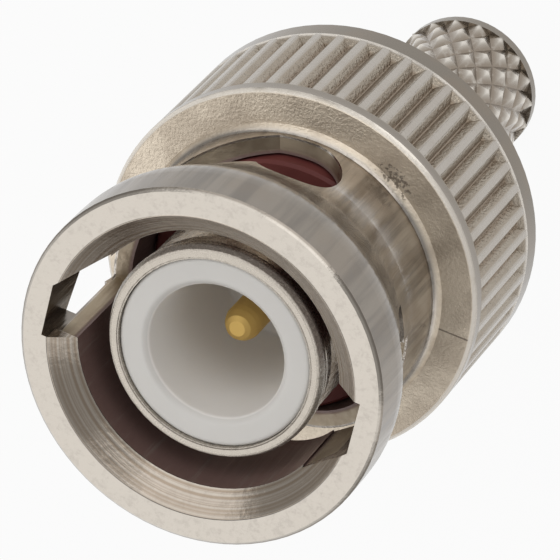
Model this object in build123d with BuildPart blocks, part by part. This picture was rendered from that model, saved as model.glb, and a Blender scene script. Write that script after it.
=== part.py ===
from build123d import *
import math
import os

os.makedirs("parts", exist_ok=True)

# Bayonet coaxial plug, standing on its cable end with the mating face up.
# Millimetres. Depths are measured down from the mating face of the coupling nut.

# overall
total_length = 27.0
nut_length = 15.0

# coupling nut, outside
grip_r = 7.25
lip_step = 0.35
lip_len = 2.2
lip_edge_chamfer = 0.13
lip_rear_round = 3.2
taper_round = 4.5
shoulder_width = 1.55
taper_end_depth = 5.0
shoulder_depth = 8.4
barrel_root_chamfer = 0.25
grip_front_chamfer = 0.16
grip_rear_chamfer = 0.25

# straight ribs of the grip, left between hipped grooves
rib_count = 50
rib_height = 0.3
rib_top_width = 0.22
groove_floor_width = 0.05
groove_runout = 0.42
rib_front_depth = 9.0
rib_rear_depth = 13.85

# coupling nut, inside
barrel_wall = 0.7
entry_flare = 0.85
entry_chamfer_len = 0.75
step_depth = 10.2
rear_step = 1.1

# bayonet cam track, angles run from the entry channel's middle toward the detent
track_count = 2
channel_height = 0.96
channel_rear_depth = 5.6
channel_back_half = 1.18
channel_lead_half = 0.9
channel_lead_flare = 1.0
track_back_angle = 11.5
track_height = 2.55
landing_angle = 14.2
detent_angle = 89.2
detent_depth = 6.35
detent_r = 1.6
lip_relief_angle = 15.0
track_overcut = 0.65

# retaining ring and its groove
groove_depth = 13.9
ring_groove_len = 0.6
ring_axial_clearance = 0.04
ring_groove_height = 0.4
ring_clearance = 0.04
ring_reach = 0.9
ring_gap = 3.0

# plug body
flange_clearance = 0.08
flange_len = 2.0
flange_edge_chamfer = 0.1
hub_step = 1.5
hub_end_depth = 18.4
hub_chamfer = 0.5
body_bore_r = 2.3
sleeve_seat_len = 1.8
stem_socket_depth = 15.2

# washers behind the flange
spring_thickness = 0.25
spring_dish = 0.3
washer_inner_clearance = 0.15
washer_outer_clearance = 0.12

# outer contact sleeve
mating_gap = 1.0
sleeve_wall = 0.33
sleeve_front_depth = 1.3
bead_height = 0.12
bead_front_len = 0.25
bead_flat_len = 0.3
bead_rear_len = 0.7
sleeve_edge_chamfer = 0.06

# insulator
insulator_clearance = 0.02
insulator_front_depth = 1.4
insulator_edge_chamfer = 0.08
recess_edge_chamfer = 0.18
recess_wall = 1.05
recess_floor_depth = 8.4

# centre pin
pin_r = 0.675
pin_tip_depth = 3.5
pin_tip_len = 0.45
pin_tip_r = 0.42
pin_tip_chamfer = 0.12
pin_guide_r = 0.85
pin_clearance = 0.015
pin_tail_r = 1.03
pin_tail_start_depth = 9.6
pin_tail_end_depth = 15.0
pin_tail_hole_r = 0.5
pin_tail_hole_len = 3.0
solder_hole_r = 0.3

# gasket
gasket_clearance = 0.1
gasket_len = 2.8
gasket_edge_chamfer = 0.12

# crimp stem with a crossed knurl of pointed diamonds
stem_r = 2.9
stem_root_r = 2.66
stem_neck_r = 2.45
stem_bore_r = 1.75
stem_bore_chamfer = 0.2
stem_end_r = 2.86
stem_end_chamfer = 0.1
stem_end_len = 0.5
knurl_count = 18
knurl_front_gap = 1.22
knurl_rows = 4


# derived sizes
full_turn = 360.0
quarter_turn = 90.0
lip_r = grip_r - lip_step
barrel_r = grip_r - shoulder_width
bore_r = barrel_r - barrel_wall
entry_r = bore_r + entry_flare
rear_bore_r = bore_r + rear_step
groove_r = rear_bore_r + ring_groove_height
ring_inner_r = rear_bore_r - ring_reach
hub_r = rear_bore_r - hub_step
sleeve_r = bore_r - mating_gap
bead_r = sleeve_r + bead_height
channel_floor_r = bore_r + channel_height
track_cut_in_r = bore_r - track_overcut
track_cut_out_r = lip_r + track_overcut
groove_width = 2 * math.pi * grip_r / rib_count - rib_top_width
groove_len = rib_rear_depth - rib_front_depth
groove_middle = (rib_front_depth + rib_rear_depth) / 2
groove_flank = (groove_width - groove_floor_width) / 2
flange_r = rear_bore_r - flange_clearance
flange_rear_depth = step_depth + flange_len
sleeve_seat_depth = step_depth + sleeve_seat_len
sleeve_inner_r = sleeve_r - sleeve_wall
bead_start_depth = sleeve_front_depth + bead_front_len
bead_end_depth = bead_start_depth + bead_flat_len
insulator_r = sleeve_inner_r - insulator_clearance
recess_r = insulator_r - recess_wall
gasket_front_depth = step_depth - gasket_len
washer_inner_r = hub_r + washer_inner_clearance
washer_outer_r = rear_bore_r - washer_outer_clearance
spring_height = spring_thickness + spring_dish
spring_mid_depth = flange_rear_depth + spring_height
thrust_front_depth = spring_mid_depth + spring_height
ring_front_depth = groove_depth + ring_axial_clearance
ring_rear_depth = groove_depth + ring_groove_len - ring_axial_clearance
ring_outer_r = groove_r - ring_clearance
track_middle = lip_len + track_height / 2
track_radial = track_cut_out_r - track_cut_in_r
track_mid_r = track_cut_in_r + track_radial / 2
climb_angle = track_back_angle + detent_angle - landing_angle
track_rise = detent_depth + detent_r - track_height - lip_len
track_lead = track_rise * full_turn / climb_angle
landing_middle = track_middle + track_rise
floor_height = channel_rear_depth - track_middle
floor_angle = climb_angle * (channel_rear_depth - lip_len - track_height) / track_rise
flare_slope = channel_lead_flare / channel_height
channel_lead_in = channel_lead_half + flare_slope * (channel_floor_r - track_cut_in_r)
relief_height = taper_end_depth - lip_len
relief_radial = track_cut_out_r - barrel_r
gasket_r = bore_r - gasket_clearance
track_turn = full_turn / track_count
pin_hole_r = pin_guide_r + pin_clearance
pin_tail_room_r = pin_tail_r + pin_clearance
knurl_end_depth = total_length - stem_end_len
knurl_turn = full_turn / knurl_count
knurl_pitch = (knurl_end_depth - hub_end_depth - knurl_front_gap) / knurl_rows


def level(depth):
    return total_length - depth


def on_circle(r, angle, z=0.0):
    turn = math.radians(angle)
    return (r * math.cos(turn), r * math.sin(turn), z)


def meridian(angle, depth):
    # upright plane through the axis at this angle: x runs outward, y runs up
    along = on_circle(1, angle)
    facing = on_circle(1, angle - quarter_turn)
    return Plane(origin=(0, 0, level(depth)), x_dir=along, z_dir=facing)


def outward(angle, depth):
    # plane facing straight out from the axis
    along = on_circle(1, angle - quarter_turn)
    facing = on_circle(1, angle)
    return Plane(origin=(0, 0, level(depth)), x_dir=along, z_dir=facing)


def nearest(sketch, r, depth):
    return sketch.vertices().sort_by_distance((r, level(depth), 0))[0]


def track_path(start_angle):
    start = (0, 0, level(track_middle))
    helix = Helix(track_lead, track_rise, track_mid_r, center=start, direction=(0, 0, -1))
    return helix.rotate(Axis.Z, start_angle - full_turn / 2)


entry_angles = [track_turn * k for k in range(track_count)]
track_paths = [track_path(a + track_back_angle) for a in entry_angles]

# coupling nut: lip, tapering barrel, shoulder, ribbed grip, and the hollow inside
with BuildPart() as coupling_nut:
    with BuildSketch(Plane.XZ) as nut_outline:
        with BuildLine():
            Polyline(
                (entry_r, level(0)),
                (lip_r, level(0)),
                (lip_r, level(lip_len)),
                (barrel_r, level(taper_end_depth)),
                (barrel_r, level(shoulder_depth)),
                (grip_r, level(shoulder_depth)),
                (grip_r, level(nut_length)),
                (rear_bore_r, level(nut_length)),
                (rear_bore_r, level(groove_depth + ring_groove_len)),
                (groove_r, level(groove_depth + ring_groove_len)),
                (groove_r, level(groove_depth)),
                (rear_bore_r, level(groove_depth)),
                (rear_bore_r, level(step_depth)),
                (bore_r, level(step_depth)),
                (bore_r, level(entry_chamfer_len)),
                close=True,
            )
        make_face()
        chamfer(nearest(nut_outline, lip_r, 0), lip_edge_chamfer)
        fillet(nearest(nut_outline, lip_r, lip_len), lip_rear_round)
        fillet(nearest(nut_outline, barrel_r, taper_end_depth), taper_round)
        chamfer(nearest(nut_outline, barrel_r, shoulder_depth), barrel_root_chamfer)
        chamfer(nearest(nut_outline, grip_r, shoulder_depth), grip_front_chamfer)
        chamfer(nearest(nut_outline, grip_r, nut_length), grip_rear_chamfer)
    revolve(axis=Axis.Z)
    # grooves of the grip, hipped at both ends
    with Locations((0, 0, level(groove_middle))):
        with PolarLocations(grip_r, rib_count):
            Wedge(
                groove_width,
                rib_height,
                groove_len,
                groove_flank,
                groove_runout,
                groove_width - groove_flank,
                groove_len - groove_runout,
                rotation=(0, 0, quarter_turn),
                align=(Align.CENTER, Align.MIN, Align.CENTER),
                mode=Mode.SUBTRACT,
            )
    # entry channels, with one wall flared toward the track
    with BuildSketch(Plane.XY.offset(level(channel_rear_depth))):
        with PolarLocations(0, track_count):
            Polygon(
                (track_cut_in_r, channel_back_half),
                (channel_floor_r, channel_back_half),
                (channel_floor_r, -channel_lead_half),
                (track_cut_in_r, -channel_lead_in),
                align=None,
            )
    extrude(amount=channel_rear_depth, mode=Mode.SUBTRACT)
    # cam tracks: a climb through the wall, a level landing, and a round detent at its end
    for entry, path in zip(entry_angles, track_paths):
        with BuildSketch(meridian(entry + track_back_angle, lip_len + relief_height / 2)):
            with Locations((barrel_r + relief_radial / 2, 0)):
                Rectangle(relief_radial, relief_height)
        revolve(axis=Axis.Z, revolution_arc=lip_relief_angle, mode=Mode.SUBTRACT)
        with BuildSketch(meridian(entry + track_back_angle - floor_angle, track_middle + floor_height / 2)):
            with Locations((track_mid_r, 0)):
                Rectangle(track_radial, floor_height)
        revolve(axis=Axis.Z, revolution_arc=floor_angle, mode=Mode.SUBTRACT)
        with BuildSketch(meridian(entry + track_back_angle, track_middle)):
            with Locations((track_mid_r, 0)):
                Rectangle(track_radial, track_height)
        sweep(path=path, is_frenet=True, mode=Mode.SUBTRACT)
        with BuildSketch(meridian(entry - detent_angle, landing_middle)):
            with Locations((track_mid_r, 0)):
                Rectangle(track_radial, track_height)
        revolve(axis=Axis.Z, revolution_arc=landing_angle, mode=Mode.SUBTRACT)
        with BuildSketch(outward(entry - detent_angle, detent_depth)):
            Circle(detent_r)
        extrude(amount=track_cut_out_r, mode=Mode.SUBTRACT)
coupling_nut.part.label = "coupling_nut"
export_step(coupling_nut.part, "parts/coupling_nut.step")

# split retaining ring sprung into the nut's rear groove
with BuildPart() as retaining_ring:
    with BuildSketch(Plane.XY.offset(level(ring_rear_depth))):
        Circle(ring_outer_r)
        Circle(ring_inner_r, mode=Mode.SUBTRACT)
        with Locations((-ring_outer_r, 0)):
            Rectangle(2 * (ring_outer_r - ring_inner_r) + ring_gap, ring_gap, mode=Mode.SUBTRACT)
    extrude(amount=ring_rear_depth - ring_front_depth)
retaining_ring.part.label = "retaining_ring"
export_step(retaining_ring.part, "parts/retaining_ring.step")

# flat washer that the retaining ring turns against
with BuildPart() as thrust_washer:
    with BuildSketch(Plane.XY.offset(level(ring_front_depth))):
        Circle(washer_outer_r)
        Circle(washer_inner_r, mode=Mode.SUBTRACT)
    extrude(amount=ring_front_depth - thrust_front_depth)
thrust_washer.part.label = "thrust_washer"
export_step(thrust_washer.part, "parts/thrust_washer.step")

# two dished spring washers, rim to rim
with BuildPart() as spring_washer_front:
    with BuildSketch(Plane.XZ):
        with BuildLine():
            Polyline(
                (washer_inner_r, level(flange_rear_depth)),
                (washer_inner_r, level(flange_rear_depth + spring_thickness)),
                (washer_outer_r, level(spring_mid_depth)),
                (washer_outer_r, level(spring_mid_depth - spring_thickness)),
                close=True,
            )
        make_face()
    revolve(axis=Axis.Z)
spring_washer_front.part.label = "spring_washer_front"
export_step(spring_washer_front.part, "parts/spring_washer_front.step")

with BuildPart() as spring_washer_rear:
    with BuildSketch(Plane.XZ):
        with BuildLine():
            Polyline(
                (washer_outer_r, level(spring_mid_depth)),
                (washer_outer_r, level(spring_mid_depth + spring_thickness)),
                (washer_inner_r, level(thrust_front_depth)),
                (washer_inner_r, level(thrust_front_depth - spring_thickness)),
                close=True,
            )
        make_face()
    revolve(axis=Axis.Z)
spring_washer_rear.part.label = "spring_washer_rear"
export_step(spring_washer_rear.part, "parts/spring_washer_rear.step")

# plug body: flange, hub, seat for the sleeve in front and socket for the stem behind
with BuildPart() as plug_body:
    with BuildSketch(Plane.XZ) as body_outline:
        with BuildLine():
            Polyline(
                (sleeve_r, level(step_depth)),
                (flange_r, level(step_depth)),
                (flange_r, level(flange_rear_depth)),
                (hub_r, level(flange_rear_depth)),
                (hub_r, level(hub_end_depth)),
                (stem_neck_r, level(hub_end_depth)),
                (stem_neck_r, level(stem_socket_depth)),
                (body_bore_r, level(stem_socket_depth)),
                (body_bore_r, level(sleeve_seat_depth)),
                (sleeve_r, level(sleeve_seat_depth)),
                close=True,
            )
        make_face()
        chamfer(nearest(body_outline, hub_r, hub_end_depth), hub_chamfer)
        chamfer(nearest(body_outline, flange_r, flange_rear_depth), flange_edge_chamfer)
    revolve(axis=Axis.Z)
plug_body.part.label = "plug_body"
export_step(plug_body.part, "parts/plug_body.step")

# outer contact: thin sleeve with a bead round its mouth
with BuildPart() as outer_contact:
    with BuildSketch(Plane.XZ) as sleeve_outline:
        with BuildLine():
            Polyline(
                (sleeve_inner_r, level(sleeve_front_depth)),
                (sleeve_r, level(sleeve_front_depth)),
                (bead_r, level(bead_start_depth)),
                (bead_r, level(bead_end_depth)),
                (sleeve_r, level(bead_end_depth + bead_rear_len)),
                (sleeve_r, level(sleeve_seat_depth)),
                (sleeve_inner_r, level(sleeve_seat_depth)),
                close=True,
            )
        make_face()
        chamfer(nearest(sleeve_outline, sleeve_r, sleeve_front_depth), sleeve_edge_chamfer)
    revolve(axis=Axis.Z)
outer_contact.part.label = "outer_contact"
export_step(outer_contact.part, "parts/outer_contact.step")

# insulator: cup in front, stepped hole for the pin behind
with BuildPart() as insulator:
    with BuildSketch(Plane.XZ) as insulator_outline:
        with BuildLine():
            Polyline(
                (recess_r, level(insulator_front_depth)),
                (insulator_r, level(insulator_front_depth)),
                (insulator_r, level(sleeve_seat_depth)),
                (pin_tail_room_r, level(sleeve_seat_depth)),
                (pin_tail_room_r, level(pin_tail_start_depth)),
                (pin_hole_r, level(pin_tail_start_depth)),
                (pin_hole_r, level(recess_floor_depth)),
                (recess_r, level(recess_floor_depth)),
                close=True,
            )
        make_face()
        chamfer(nearest(insulator_outline, recess_r, insulator_front_depth), recess_edge_chamfer)
        chamfer(nearest(insulator_outline, insulator_r, insulator_front_depth), insulator_edge_chamfer)
    revolve(axis=Axis.Z)
insulator.part.label = "insulator"
export_step(insulator.part, "parts/insulator.step")

# centre pin: round-nosed pin with a crimp barrel behind
with BuildPart() as centre_pin:
    with BuildSketch(Plane.XZ) as pin_outline:
        with BuildLine():
            Polyline(
                (0, level(pin_tip_depth)),
                (pin_tip_r, level(pin_tip_depth)),
                (pin_r, level(pin_tip_depth + pin_tip_len)),
                (pin_r, level(recess_floor_depth)),
                (pin_guide_r, level(recess_floor_depth)),
                (pin_guide_r, level(pin_tail_start_depth)),
                (pin_tail_r, level(pin_tail_start_depth)),
                (pin_tail_r, level(pin_tail_end_depth)),
                (pin_tail_hole_r, level(pin_tail_end_depth)),
                (pin_tail_hole_r, level(pin_tail_end_depth - pin_tail_hole_len)),
                (0, level(pin_tail_end_depth - pin_tail_hole_len)),
                close=True,
            )
        make_face()
        chamfer(nearest(pin_outline, pin_tip_r, pin_tip_depth), pin_tip_chamfer)
        chamfer(nearest(pin_outline, pin_r, pin_tip_depth + pin_tip_len), pin_tip_chamfer)
    revolve(axis=Axis.Z)
    with BuildSketch(outward(0, pin_tail_end_depth - pin_tail_hole_len / 2)):
        Circle(solder_hole_r)
    extrude(amount=pin_tail_r + solder_hole_r, mode=Mode.SUBTRACT)
centre_pin.part.label = "centre_pin"
export_step(centre_pin.part, "parts/centre_pin.step")

# gasket round the sleeve, seated on the flange
with BuildPart() as gasket:
    with BuildSketch(Plane.XZ) as gasket_outline:
        with BuildLine():
            Polyline(
                (sleeve_r, level(gasket_front_depth)),
                (gasket_r, level(gasket_front_depth)),
                (gasket_r, level(step_depth)),
                (sleeve_r, level(step_depth)),
                close=True,
            )
        make_face()
        chamfer(nearest(gasket_outline, gasket_r, gasket_front_depth), gasket_edge_chamfer)
    revolve(axis=Axis.Z)
gasket.part.label = "gasket"
export_step(gasket.part, "parts/gasket.step")

# diamonds of the crossed knurl: each has a raised point and four low corners shared with its neighbours
half_turn = knurl_turn / 2
half_pitch = knurl_pitch / 2
knurl_base = level(knurl_end_depth)
knurl_faces = []


def low(column, row):
    return on_circle(stem_root_r, column * half_turn, knurl_base + row * half_pitch)


def high(column, row):
    return on_circle(stem_r, column * half_turn, knurl_base + row * half_pitch)


def triangle(a, b, c):
    return Face(Wire.make_polygon([a, b, c], close=True))


last_row = 2 * knurl_rows
for row in range(last_row + 1):
    for i in range(knurl_count):
        column = 2 * i + (row + 1) % 2
        if row > 0:
            knurl_faces.append(triangle(high(column, row), low(column - 1, row), low(column, row - 1)))
            knurl_faces.append(triangle(high(column, row), low(column, row - 1), low(column + 1, row)))
        if row < last_row:
            knurl_faces.append(triangle(high(column, row), low(column + 1, row), low(column, row + 1)))
            knurl_faces.append(triangle(high(column, row), low(column, row + 1), low(column - 1, row)))
for row in (0, last_row):
    rim = []
    for i in range(2 * knurl_count):
        rim.append(low(i, row) if (i + row) % 2 == 0 else high(i, row))
    knurl_faces.append(Face(Wire.make_polygon(rim, close=True)))

# crimp stem: plain neck in the hub, knurled length, smooth end rim, bored through
with BuildPart() as crimp_stem:
    add(Solid(Shell(knurl_faces)))
    with BuildSketch(Plane.XZ) as stem_outline:
        with BuildLine():
            Polyline(
                (0, level(stem_socket_depth)),
                (stem_neck_r, level(stem_socket_depth)),
                (stem_neck_r, level(knurl_end_depth)),
                (stem_end_r, level(knurl_end_depth)),
                (stem_end_r, level(total_length)),
                (0, level(total_length)),
                close=True,
            )
        make_face()
        chamfer(nearest(stem_outline, stem_end_r, total_length), stem_end_chamfer)
    revolve(axis=Axis.Z)
    with BuildSketch(Plane.XZ):
        with BuildLine():
            Polyline(
                (0, level(stem_socket_depth)),
                (stem_bore_r, level(stem_socket_depth)),
                (stem_bore_r, level(total_length - stem_bore_chamfer)),
                (stem_bore_r + stem_bore_chamfer, level(total_length)),
                (0, level(total_length)),
                close=True,
            )
        make_face()
    revolve(axis=Axis.Z, mode=Mode.SUBTRACT)
crimp_stem.part.label = "crimp_stem"
export_step(crimp_stem.part, "parts/crimp_stem.step")
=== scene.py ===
import math

import bpy
from mathutils import Euler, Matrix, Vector


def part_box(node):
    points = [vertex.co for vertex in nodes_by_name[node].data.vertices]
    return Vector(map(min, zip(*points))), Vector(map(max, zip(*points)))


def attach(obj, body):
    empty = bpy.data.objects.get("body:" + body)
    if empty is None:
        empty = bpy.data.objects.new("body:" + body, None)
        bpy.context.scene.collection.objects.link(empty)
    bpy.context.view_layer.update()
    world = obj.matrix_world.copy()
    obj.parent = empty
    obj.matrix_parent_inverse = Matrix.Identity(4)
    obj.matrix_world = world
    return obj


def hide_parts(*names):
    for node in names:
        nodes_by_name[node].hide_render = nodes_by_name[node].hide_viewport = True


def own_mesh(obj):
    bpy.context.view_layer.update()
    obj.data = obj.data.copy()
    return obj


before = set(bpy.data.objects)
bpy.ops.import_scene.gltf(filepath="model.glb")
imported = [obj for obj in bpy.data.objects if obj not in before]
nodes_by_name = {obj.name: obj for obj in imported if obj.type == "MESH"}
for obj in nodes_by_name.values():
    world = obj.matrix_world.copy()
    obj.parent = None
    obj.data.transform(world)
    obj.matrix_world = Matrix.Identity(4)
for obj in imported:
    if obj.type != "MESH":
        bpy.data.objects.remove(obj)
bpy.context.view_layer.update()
scene = bpy.context.scene
scene.view_settings.view_transform = "Standard"

MM = 0.001


def rgb(r, g, b):
    return (r, g, b, 1.0)


# heights and radii of the plug's parts in millimetres, the outer ones read from the frame
nut_low, nut_high = [[c / MM for c in corner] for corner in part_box("coupling_nut")]
MATING_Z = nut_high[2]
COLLAR_Z = nut_low[2]
GRIP_R = nut_high[0]
SHOULDER_Z = MATING_Z - 8.4
LIP_REAR_Z = MATING_Z - 2.2
MOUTH_Z = MATING_Z - 0.75
GROOVE_TOP_Z = SHOULDER_Z - 0.6
COLLAR_TOP_Z = COLLAR_Z + 1.15
BARREL_R = 5.7
BORE_R = 5.0
ENTRY_R = 5.85
EDGE_WIDTH = 0.16
SLEEVE_FRONT_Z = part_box("outer_contact")[1][2] / MM
SLEEVE_R = 4.0
SLEEVE_WALL = 0.33
SLEEVE_INSIDE_R = SLEEVE_R - SLEEVE_WALL
RECESS_R = 2.6
STEM_R = 2.9
STEM_ROOT_R = 2.66
STEM_RIM_Z = 0.55

# soft borders of the casting's zones in millimetres, where a mask starts and where it is full
MOUTH_BORDER = (MOUTH_Z - 0.03, MOUTH_Z)
LIP_INSIDE_BORDER = (ENTRY_R + 0.01, ENTRY_R + 0.05)
FACE_BORDER = (MATING_Z - 0.1, MATING_Z - 0.04)
BORE_BORDER = (BORE_R + 0.05, BORE_R + 0.2)
POLISH_BORDER = (SHOULDER_Z + 0.2, SHOULDER_Z + 1.2)
POLISH_FADE = (MATING_Z - 0.3, LIP_REAR_Z - 0.8)
POLISH_AT_LIP = 0.35
OUTSIDE_BORDER = (BARREL_R - 0.06, BARREL_R - 0.02)
SHOULDER_BORDER = (BARREL_R, BARREL_R + 0.2)
GROOVE_BORDER = (GRIP_R - 0.1, GRIP_R - 0.02)
GROOVE_AT_CREST = 0.4
CREST_BORDER = (GRIP_R - 0.08, GRIP_R - 0.03)
GROOVE_FLOOR_BORDER = (GRIP_R - 0.27, GRIP_R - 0.18)
COLLAR_BORDER = (COLLAR_TOP_Z - 0.05, COLLAR_TOP_Z + 0.05)
FRONT_EDGE_BORDER = (GRIP_R - EDGE_WIDTH - 0.04, GRIP_R - EDGE_WIDTH + 0.02)

# bands of the casting in millimetres: low end, high end and softness of both ends
SLOT_BAND = (BORE_R + 0.08, BARREL_R - 0.08, 0.03)
BARREL_BAND = (SHOULDER_Z + 0.2, LIP_REAR_Z - 1.2, 0.7)
UPRIGHT_BAND = (SHOULDER_Z + 0.2, MATING_Z - 0.15, 0.05)
SHOULDER_BAND = (SHOULDER_Z - 0.1, SHOULDER_Z + 0.2, 0.06)
RIB_BAND = (COLLAR_TOP_Z, GROOVE_TOP_Z, 0.05)
FRONT_EDGE_BAND = (SHOULDER_Z - EDGE_WIDTH, SHOULDER_Z - 0.02, 0.02)
COLLAR_EDGE_BAND = (COLLAR_TOP_Z - 0.04, COLLAR_TOP_Z + 0.06, 0.02)

# marks on the casting and the painted reflection streaks and bands, in millimetres: sizes of the
# patterns and heights of their bumps
GRAIN_SIZE = 0.13
GRAIN_HEIGHT = 0.06
BLOTCH_SIZE = 1.5
STREAK_SIZE = 0.3
STREAK_HEIGHT = 0.03
STREAK_STRETCH = (1, 1, 0.05)
SWEEP_SIZE = 0.75
SWEEP_FADE = 0.06
RING_PITCH = 0.09
RING_HEIGHT = 0.01
MOUTH_WAVE_HEIGHT = 0.03
TURNED_PITCH = 0.05
TURNED_HEIGHT = 0.0003

# a rough patch and a parting line on the shoulder, in millimetres
FLAKE_R = 6.15
FLAKE_ANGLE = math.radians(60.5)
FLAKE_CORE = 0.2
FLAKE_REACH = 1.7
FLAKE_SLIM = 2.2
FLAKE_SIZE = 0.15
FLAKE_DEPTH = 0.04
FLAKE_LIMITS = (0.53, 0.27)
FLAKE_SOFT = 0.06
SEAM_BAND = (0.22, 0.28, 0.02)
SEAM_BORDER = (5.9, 6.0)

# values of a noise between which a surface changes
STREAK_RANGE = (0.48, 0.7)
SWEEP_RANGE = (0.43, 0.63)
BLOTCH_RANGE = (0.4, 0.65)
RING_RANGE = (0.38, 0.6)
GLOSS_RANGE = (0.35, 0.65)
EDGE_HIGHLIGHT_RANGE = (0.3, 0.5)
BORE_RANGE = (0.56, 0.7)
WEAR_RANGE = (0.35, 0.75)
NICK_RANGE = (0.27, 0.33)
VALLEY_DARK_RANGE = (0.2, 0.5)
USUAL_RANGE = (0.3, 0.7)

# colours
NICKEL = rgb(0.49, 0.453, 0.405)
# painted shade: a darker copy of the nickel for the sides of the nut
NICKEL_SIDE_SHADED = rgb(0.28, 0.25, 0.216)
NICKEL_DULL = rgb(0.44, 0.38, 0.31)
NICKEL_STAIN = rgb(0.27, 0.21, 0.155)
GRIME = rgb(0.07, 0.05, 0.04)
BORE_DULL = rgb(0.15, 0.075, 0.068)
CAST_TAN = rgb(0.75, 0.665, 0.55)
GROOVE_TAN = rgb(0.4, 0.352, 0.29)
RIB_BRIGHT = rgb(0.46, 0.426, 0.384)
BARREL_PALE = rgb(0.54, 0.508, 0.472)
# painted reflection: the dark of the streaks and bands on the lip and barrel
PAINTED_REFLECTION_DARK = rgb(0.17, 0.154, 0.138)
SLOT_TAN = rgb(0.44, 0.365, 0.26)
# painted shade for the collar
COLLAR_PAINTED_SHADE = rgb(0.22, 0.194, 0.163)
# painted highlight for the edges of the shoulder and collar
EDGE_PAINTED_HIGHLIGHT = rgb(0.8, 0.745, 0.67)
STEM_RIM_DARK = rgb(0.25, 0.223, 0.19)
RIM_BRIGHT = rgb(0.52, 0.475, 0.415)
KNURL_VALLEY_DARK = rgb(0.29, 0.245, 0.2)
KNURL_PAINTED_HIGHLIGHT = rgb(0.72, 0.68, 0.62)
STEEL_DARK = rgb(0.42, 0.41, 0.4)
STEEL_PALE = rgb(0.56, 0.55, 0.53)
PLASTIC_GREY = rgb(0.585, 0.57, 0.545)
PLASTIC_PALE = rgb(0.635, 0.62, 0.595)
# painted light for the inside of the insulator's cup
PLASTIC_PAINTED_LIGHT = rgb(0.8, 0.778, 0.748)
GOLD_DARK = rgb(0.58, 0.39, 0.12)
GOLD_PALE = rgb(0.68, 0.49, 0.18)
RED_DARK = rgb(0.1, 0.026, 0.024)
RED_PALE = rgb(0.15, 0.04, 0.035)
FLOOR_PALE = rgb(0.49, 0.483, 0.472)
SKY_WHITE = rgb(1.0, 0.985, 0.965)

# camera: millimetres and degrees
CAMERA_PLACE = (49.801, 107.971, 201.174)
CAMERA_TURN = (-25.4452, 22.0329, 13.4534)
SENSOR_WIDTH = 36.0
LENS = 385.71
CLIP_START = 0.01
CLIP_END = 10.0

# stage: floor in metres, sky, and lamps as name, azimuth and elevation in degrees, distance and
# size in millimetres, and watts
WHITE_SHARE = 0.94
FLOOR_SIZE = 3.0
SKY_STRENGTH = 0.46
LAMP_AIM_Z = 14.0
LAMPS = (
    ("key", 218.0, 54.0, 140.0, 140.0, 0.057),
    ("fill", 124.0, 50.0, 150.0, 135.0, 0.06),
    ("front", 72.0, 26.0, 170.0, 110.0, 0.05),
    ("side", 330.0, 30.0, 160.0, 90.0, 0.02),
)


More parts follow.
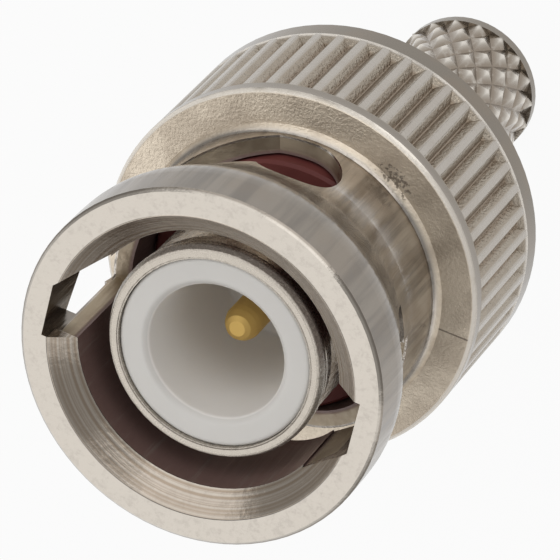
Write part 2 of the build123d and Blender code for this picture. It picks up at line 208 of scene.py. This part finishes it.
class Shader:
    """A material's node tree, with one short call for each kind of node used here."""

    def __init__(self, name):
        self.material = bpy.data.materials.new(name)
        self.material.use_nodes = True
        self.tree = self.material.node_tree
        self.bsdf = self.tree.nodes["Principled BSDF"]
        coordinates = self.tree.nodes.new("ShaderNodeTexCoord")
        self.place = coordinates.outputs["Object"]
        split = self.tree.nodes.new("ShaderNodeSeparateXYZ")
        self.tree.links.new(self.place, split.inputs[0])
        self.x, self.y, self.z = split.outputs

    def put(self, socket, value):
        if isinstance(value, bpy.types.NodeSocket):
            self.tree.links.new(value, socket)
        else:
            socket.default_value = value

    def math(self, operation, a, b=0.0):
        node = self.tree.nodes.new("ShaderNodeMath")
        node.operation = operation
        self.put(node.inputs[0], a)
        self.put(node.inputs[1], b)
        return node.outputs[0]

    def product(self, first, *others):
        for other in others:
            first = self.math("MULTIPLY", first, other)
        return first

    def total(self, first, *others):
        for other in others:
            first = self.math("ADD", first, other)
        return first

    def weighted(self, *parts):
        """Sum of masks, each times its own share."""
        return self.total(*[self.product(mask, share) for mask, share in parts])

    def without(self, mask):
        return self.math("SUBTRACT", 1.0, mask)

    def length(self, a, b):
        return self.math("SQRT", self.total(self.product(a, a), self.product(b, b)))

    def away(self):
        """Distance from the plug's axis."""
        return self.length(self.x, self.y)

    def ramp(self, value, low, high, out_low=0.0, out_high=1.0):
        node = self.tree.nodes.new("ShaderNodeMapRange")
        node.interpolation_type = "SMOOTHSTEP"
        self.put(node.inputs["Value"], value)
        self.put(node.inputs["From Min"], low)
        self.put(node.inputs["From Max"], high)
        self.put(node.inputs["To Min"], out_low)
        self.put(node.inputs["To Max"], out_high)
        return node.outputs[0]

    def above(self, value, border_mm, out_low=0.0):
        return self.ramp(value, border_mm[0] * MM, border_mm[1] * MM, out_low, 1.0)

    def below(self, value, border_mm, out_high=0.0):
        return self.ramp(value, border_mm[0] * MM, border_mm[1] * MM, 1.0, out_high)

    def band(self, value, band_mm):
        low, high, soft = band_mm
        rise = self.above(value, (low - soft, low + soft))
        fall = self.below(value, (high - soft, high + soft))
        return self.math("MULTIPLY", rise, fall)

    def usual(self, noise, low, high):
        """A value that wanders between two others with a noise."""
        return self.ramp(noise, *USUAL_RANGE, low, high)

    def texture(self, vector, detail, roughness):
        node = self.tree.nodes.new("ShaderNodeTexNoise")
        self.put(node.inputs["Vector"], vector)
        node.inputs["Scale"].default_value = 1.0
        node.inputs["Detail"].default_value = detail
        node.inputs["Roughness"].default_value = roughness
        return node.outputs[0]

    def noise(self, size_mm, detail=4.0, roughness=0.55, stretch=(1, 1, 1)):
        node = self.tree.nodes.new("ShaderNodeMapping")
        self.put(node.inputs["Vector"], self.place)
        node.inputs["Scale"].default_value = [s / (size_mm * MM) for s in stretch]
        return self.texture(node.outputs[0], detail, roughness)

    def sweeps(self, size_mm, radius_mm, fade):
        """Uneven streaks that change round the axis and hardly along it."""
        r = self.away()
        turns = radius_mm / size_mm
        join = self.tree.nodes.new("ShaderNodeCombineXYZ")
        self.put(join.inputs[0], self.product(self.math("DIVIDE", self.x, r), turns))
        self.put(join.inputs[1], self.product(self.math("DIVIDE", self.y, r), turns))
        self.put(join.inputs[2], self.product(self.z, fade / (size_mm * MM)))
        return self.texture(join.outputs[0], detail=3.0, roughness=0.6)

    def lines(self, value, pitch_mm):
        """Fine turned marks that repeat unevenly along a value in metres."""
        join = self.tree.nodes.new("ShaderNodeCombineXYZ")
        self.put(join.inputs[0], self.math("DIVIDE", value, pitch_mm * MM))
        return self.texture(join.outputs[0], detail=3.0, roughness=0.5)

    def mix(self, share, a, b):
        node = self.tree.nodes.new("ShaderNodeMix")
        node.data_type = "RGBA"
        self.put(node.inputs["Factor"], share)
        self.put(node.inputs["A"], a)
        self.put(node.inputs["B"], b)
        return node.outputs["Result"]

    def bump(self, height, distance_mm, strength=1.0, under=None):
        node = self.tree.nodes.new("ShaderNodeBump")
        node.inputs["Strength"].default_value = strength
        node.inputs["Distance"].default_value = distance_mm * MM
        self.put(node.inputs["Height"], height)
        if under is not None:
            self.put(node.inputs["Normal"], under)
        return node.outputs[0]

    def rounded(self, radius_mm):
        """Normals of edges that look rounded off."""
        node = self.tree.nodes.new("ShaderNodeBevel")
        node.samples = 6
        node.inputs["Radius"].default_value = radius_mm * MM
        return node.outputs[0]

    def set(self, **values):
        for name, value in values.items():
            self.put(self.bsdf.inputs[name.replace("_", " ")], value)


def rough_patch(s, r):
    """Mask of pits that thin out away from one spot of the shoulder."""
    along = s.total(
        s.product(s.x, -math.sin(FLAKE_ANGLE)),
        s.product(s.y, math.cos(FLAKE_ANGLE)),
    )
    across = s.product(s.math("SUBTRACT", r, FLAKE_R * MM), FLAKE_SLIM)
    off_patch = s.length(along, across)
    limit = s.ramp(off_patch, FLAKE_CORE * MM, FLAKE_REACH * MM, *FLAKE_LIMITS)
    flakes = s.noise(FLAKE_SIZE, detail=4.0, roughness=0.7)
    return s.ramp(s.math("SUBTRACT", flakes, limit), -FLAKE_SOFT, 0.0, 1.0, 0.0)


def cast_nickel():
    """Plated casting: satin mating face, turned mouth, polished barrel, grainy shoulder and grooves,
    with painted shade on the sides and collar, painted dark reflections on the lip and barrel and
    painted highlights on the shoulder and collar edges.
    """
    s = Shader("nickel_casting")
    r = s.away()
    below_mouth = s.below(s.z, MOUTH_BORDER)
    mouth = s.product(s.below(r, LIP_INSIDE_BORDER), s.above(s.z, MOUTH_BORDER))
    face = s.above(s.z, FACE_BORDER)
    bore = s.product(below_mouth, s.below(r, BORE_BORDER))
    slot = s.product(below_mouth, s.band(r, SLOT_BAND))
    barrel = s.band(s.z, BARREL_BAND)
    polished = s.product(s.above(s.z, POLISH_BORDER), s.above(s.z, POLISH_FADE, POLISH_AT_LIP))
    upright = s.product(s.band(s.z, UPRIGHT_BAND), s.above(r, OUTSIDE_BORDER), s.without(mouth))
    shoulder = s.product(s.band(s.z, SHOULDER_BAND), s.above(r, SHOULDER_BORDER))
    ribbed = s.band(s.z, RIB_BAND)
    groove = s.product(ribbed, s.below(r, GROOVE_BORDER, GROOVE_AT_CREST))
    crest = s.above(r, CREST_BORDER)
    groove_floor = s.product(ribbed, s.below(r, GROOVE_FLOOR_BORDER))
    collar = s.below(s.z, COLLAR_BORDER)
    front_edge = s.product(s.band(s.z, FRONT_EDGE_BAND), s.above(r, FRONT_EDGE_BORDER))
    collar_edge = s.product(s.band(s.z, COLLAR_EDGE_BAND), crest)
    edge = s.math("MAXIMUM", front_edge, collar_edge)
    flaked = s.product(shoulder, rough_patch(s, r))
    seam = s.product(shoulder, s.band(s.y, SEAM_BAND), s.above(s.x, SEAM_BORDER))

    grain = s.noise(GRAIN_SIZE, detail=2.0, roughness=0.6)
    blotch = s.noise(BLOTCH_SIZE, detail=3.0)
    streak = s.noise(STREAK_SIZE, roughness=0.65, stretch=STREAK_STRETCH)
    sweep = s.sweeps(SWEEP_SIZE, BARREL_R, SWEEP_FADE)
    rings = s.lines(r, RING_PITCH)
    turned = s.lines(s.z, TURNED_PITCH)

    # painted shade: all but the mating face and mouth get the darker copy of the nickel
    colour = s.mix(s.math("MAXIMUM", face, mouth), NICKEL_SIDE_SHADED, NICKEL)
    colour = s.mix(barrel, colour, BARREL_PALE)
    # painted reflection: dark streaks along the polished lip and barrel, over their real brushed bumps
    colour = s.mix(s.product(polished, s.ramp(streak, *STREAK_RANGE), 0.42), colour, PAINTED_REFLECTION_DARK)
    # painted reflection: broad dark bands round the lip and barrel
    colour = s.mix(s.product(upright, s.ramp(sweep, *SWEEP_RANGE), 0.6), colour, PAINTED_REFLECTION_DARK)
    colour = s.mix(shoulder, colour, CAST_TAN)
    colour = s.mix(ribbed, colour, s.mix(crest, GROOVE_TAN, RIB_BRIGHT))
    colour = s.mix(s.product(groove_floor, 0.8), colour, NICKEL_STAIN)
    colour = s.mix(s.product(slot, 0.8), colour, SLOT_TAN)
    # painted shade: the collar darker than the rest of the nut
    colour = s.mix(collar, colour, COLLAR_PAINTED_SHADE)
    stained = s.weighted(
        (shoulder, 0.3),
        (groove, 0.25),
        (barrel, 0.12),
        (slot, 0.5),
        (upright, 0.15),
        (collar, 0.25),
    )
    colour = s.mix(s.product(stained, s.ramp(blotch, *BLOTCH_RANGE)), colour, NICKEL_STAIN)
    colour = s.mix(s.product(mouth, s.ramp(rings, *RING_RANGE, 0.85, 0.3)), colour, NICKEL_STAIN)
    colour = s.mix(s.product(flaked, 0.6), colour, GRIME)
    colour = s.mix(s.product(seam, 0.7), colour, GRIME)
    # painted highlight: bright edges of the shoulder and collar, also made less metallic below
    colour = s.mix(s.product(edge, s.ramp(blotch, *EDGE_HIGHLIGHT_RANGE, 0.4, 1.0)), colour, EDGE_PAINTED_HIGHLIGHT)
    colour = s.mix(s.product(bore, s.ramp(streak, *BORE_RANGE, 0.8, 0.5)), colour, BORE_DULL)

    rough = s.weighted(
        (polished, s.ramp(streak, *GLOSS_RANGE, -0.1, 0.05)),
        (shoulder, 0.3),
        (slot, 0.25),
        (bore, 0.2),
        (mouth, 0.04),
        (groove, 0.14),
    )
    grainy = s.total(groove, s.product(shoulder, 0.5))
    mouth_marks = s.weighted((rings, RING_HEIGHT), (blotch, MOUTH_WAVE_HEIGHT))
    height = s.weighted(
        (s.product(grainy, grain), GRAIN_HEIGHT),
        (mouth, mouth_marks),
        (flaked, -FLAKE_DEPTH),
        (s.product(polished, streak), STREAK_HEIGHT),
        (turned, TURNED_HEIGHT),
    )
    s.set(
        Base_Color=colour,
        Metallic=s.without(s.weighted((bore, 0.75), (edge, 0.6))),
        Roughness=s.total(0.2, rough),
        Normal=s.bump(height, 1.0),
    )
    return s.material


def turned_nickel():
    """Plated turned part with fine marks round it."""
    s = Shader("nickel_turned")
    cloud = s.noise(1.1, detail=3.0)
    s.set(
        Base_Color=s.mix(s.ramp(cloud, *WEAR_RANGE), NICKEL, NICKEL_DULL),
        Metallic=1.0,
        Roughness=s.usual(cloud, 0.2, 0.3),
        Normal=s.bump(s.lines(s.z, 0.06), 0.0006),
    )
    return s.material


def worn_sleeve():
    """Thin plated sleeve whose mouth is rubbed bright, with dark nicks along both edges."""
    s = Shader("nickel_sleeve")
    r = s.away()
    chips = s.noise(0.22, roughness=0.7)
    rim = s.above(s.z, (SLEEVE_FRONT_Z - 0.5, SLEEVE_FRONT_Z - 0.3))
    inner_edge = s.below(r, (SLEEVE_INSIDE_R + 0.02, SLEEVE_INSIDE_R + 0.08))
    outer_edge = s.above(r, (SLEEVE_R - 0.06, SLEEVE_R))
    edges = s.product(rim, s.math("MAXIMUM", inner_edge, outer_edge))
    nicks = s.product(edges, s.ramp(chips, *NICK_RANGE, 1.0, 0.0))
    colour = s.mix(s.ramp(s.noise(1.1), *WEAR_RANGE), NICKEL, NICKEL_DULL)
    colour = s.mix(rim, colour, RIM_BRIGHT)
    s.set(
        Base_Color=s.mix(s.product(nicks, 0.85), colour, GRIME),
        Metallic=s.without(s.product(rim, 0.5)),
        Roughness=s.usual(chips, 0.18, 0.34),
        Normal=s.bump(s.product(edges, chips), 0.06),
    )
    return s.material


def knurled_nickel():
    """Plated knurl: painted highlights on the points, darker brown in the valleys and a darker rim at
    the end.
    """
    s = Shader("nickel_knurled")
    r = s.away()
    cloud = s.noise(0.35, detail=3.0)
    valley = s.below(r, (STEM_ROOT_R + 0.01, STEM_R - 0.05))
    point = s.above(r, (STEM_R - 0.12, STEM_R - 0.03))
    rim = s.below(s.z, (STEM_RIM_Z - 0.1, STEM_RIM_Z + 0.1))
    # darker brown in the valleys, patchy with the noise
    colour = s.mix(s.product(valley, s.ramp(cloud, *VALLEY_DARK_RANGE)), NICKEL, KNURL_VALLEY_DARK)
    # painted highlight on the knurl's points
    colour = s.mix(point, colour, KNURL_PAINTED_HIGHLIGHT)
    s.set(
        # a darker rim at the end of the stem
        Base_Color=s.mix(rim, colour, STEM_RIM_DARK),
        Metallic=1.0,
        Roughness=s.usual(cloud, 0.16, 0.28),
        Normal=s.bump(s.noise(0.18, detail=3.0), 0.012),
    )
    return s.material


def spring_steel():
    s = Shader("spring_steel")
    cloud = s.noise(0.9)
    s.set(
        Base_Color=s.mix(cloud, STEEL_DARK, STEEL_PALE),
        Metallic=1.0,
        Roughness=s.usual(cloud, 0.28, 0.42),
        Normal=s.bump(s.noise(0.2), 0.004, strength=0.3),
    )
    return s.material


def white_insulator():
    """White plastic, greyer with a noise on its face, with painted light inside the cup that lifts its
    shade.
    """
    s = Shader("white_insulator")
    cloud = s.noise(2.0, detail=3.0)
    inside = s.below(s.away(), (RECESS_R + 0.01, RECESS_R + 0.06))
    face = s.mix(cloud, PLASTIC_GREY, PLASTIC_PALE)
    s.set(
        # painted light: the cup's inside paler than the face, against its shade
        Base_Color=s.mix(inside, face, PLASTIC_PAINTED_LIGHT),
        Roughness=s.usual(cloud, 0.34, 0.46),
        Subsurface_Weight=0.25,
        Subsurface_Radius=(0.9, 0.85, 0.8),
        Subsurface_Scale=0.5 * MM,
        Normal=s.bump(s.noise(0.3, detail=3.0), 0.001, under=s.rounded(0.25)),
    )
    return s.material


def gold_pin():
    s = Shader("gold_pin")
    cloud = s.noise(0.7, detail=3.0)
    s.set(
        Base_Color=s.mix(cloud, GOLD_DARK, GOLD_PALE),
        Metallic=1.0,
        Roughness=s.usual(cloud, 0.56, 0.66),
        Normal=s.bump(s.noise(0.12), 0.003),
    )
    return s.material


def red_gasket():
    s = Shader("red_gasket")
    cloud = s.noise(0.8)
    s.set(
        Base_Color=s.mix(cloud, RED_DARK, RED_PALE),
        Roughness=s.usual(cloud, 0.42, 0.6),
        Specular_IOR_Level=0.2,
        Normal=s.bump(s.noise(0.15), 0.006, strength=0.4),
    )
    return s.material


def pale_floor():
    """Pale floor that is white to the eye and in the metal, and still takes a little shadow."""
    s = Shader("pale_floor")
    s.set(Base_Color=FLOOR_PALE, Roughness=0.9, Specular_IOR_Level=0.1)
    path = s.tree.nodes.new("ShaderNodeLightPath")
    seen = s.math("MAXIMUM", path.outputs["Is Camera Ray"], path.outputs["Is Glossy Ray"])
    seen = s.math("MAXIMUM", seen, path.outputs["Is Transmission Ray"])
    glow = s.tree.nodes.new("ShaderNodeEmission")
    blend = s.tree.nodes.new("ShaderNodeMixShader")
    s.put(blend.inputs[0], s.product(seen, WHITE_SHARE))
    s.put(blend.inputs[1], s.bsdf.outputs[0])
    s.put(blend.inputs[2], glow.outputs[0])
    s.put(s.tree.nodes["Material Output"].inputs["Surface"], blend.outputs[0])
    return s.material


steel = spring_steel()
finishes = {
    "coupling_nut": cast_nickel(),
    "plug_body": turned_nickel(),
    "outer_contact": worn_sleeve(),
    "crimp_stem": knurled_nickel(),
    "retaining_ring": steel,
    "thrust_washer": steel,
    "spring_washer_front": steel,
    "spring_washer_rear": steel,
    "insulator": white_insulator(),
    "centre_pin": gold_pin(),
    "gasket": red_gasket(),
}
for name, material in finishes.items():
    for slot in nodes_by_name[name].material_slots:
        slot.material = material

# copies of the spring washers go with the plug body, in place of the imported ones
for name in ("spring_washer_front", "spring_washer_rear"):
    spring = bpy.data.objects.new(name + "_spring", nodes_by_name[name].data.copy())
    scene.collection.objects.link(spring)
    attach(spring, "plug")
    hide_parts(name)
    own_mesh(spring)

# a long lens above the mating face, rolled as the photograph is
camera_data = bpy.data.cameras.new("camera")
camera_data.sensor_width = SENSOR_WIDTH
camera_data.lens = LENS
camera_data.clip_start = CLIP_START
camera_data.clip_end = CLIP_END
camera = bpy.data.objects.new("camera", camera_data)
camera.location = Vector(CAMERA_PLACE) * MM
camera.rotation_euler = Euler([math.radians(a) for a in CAMERA_TURN], "XYZ")
scene.collection.objects.link(camera)
scene.camera = camera

bpy.ops.mesh.primitive_plane_add(size=FLOOR_SIZE)
floor = bpy.context.object
floor.name = "floor"
floor.data.materials.append(pale_floor())


def softbox(name, azimuth, elevation, distance_mm, size_mm, watts):
    """A square lamp that faces the middle of the plug."""
    data = bpy.data.lights.new(name, "AREA")
    data.size = size_mm * MM
    data.energy = watts
    lamp = bpy.data.objects.new(name, data)
    a = math.radians(azimuth)
    e = math.radians(elevation)
    way = Vector((math.cos(e) * math.cos(a), math.cos(e) * math.sin(a), math.sin(e)))
    lamp.location = way * distance_mm * MM + Vector((0, 0, LAMP_AIM_Z * MM))
    lamp.rotation_euler = way.to_track_quat("Z", "Y").to_euler()
    scene.collection.objects.link(lamp)


for lamp_values in LAMPS:
    softbox(*lamp_values)

world = bpy.data.worlds.new("studio")
scene.world = world
world.use_nodes = True
sky = world.node_tree.nodes["Background"]
sky.inputs["Color"].default_value = SKY_WHITE
sky.inputs["Strength"].default_value = SKY_STRENGTH
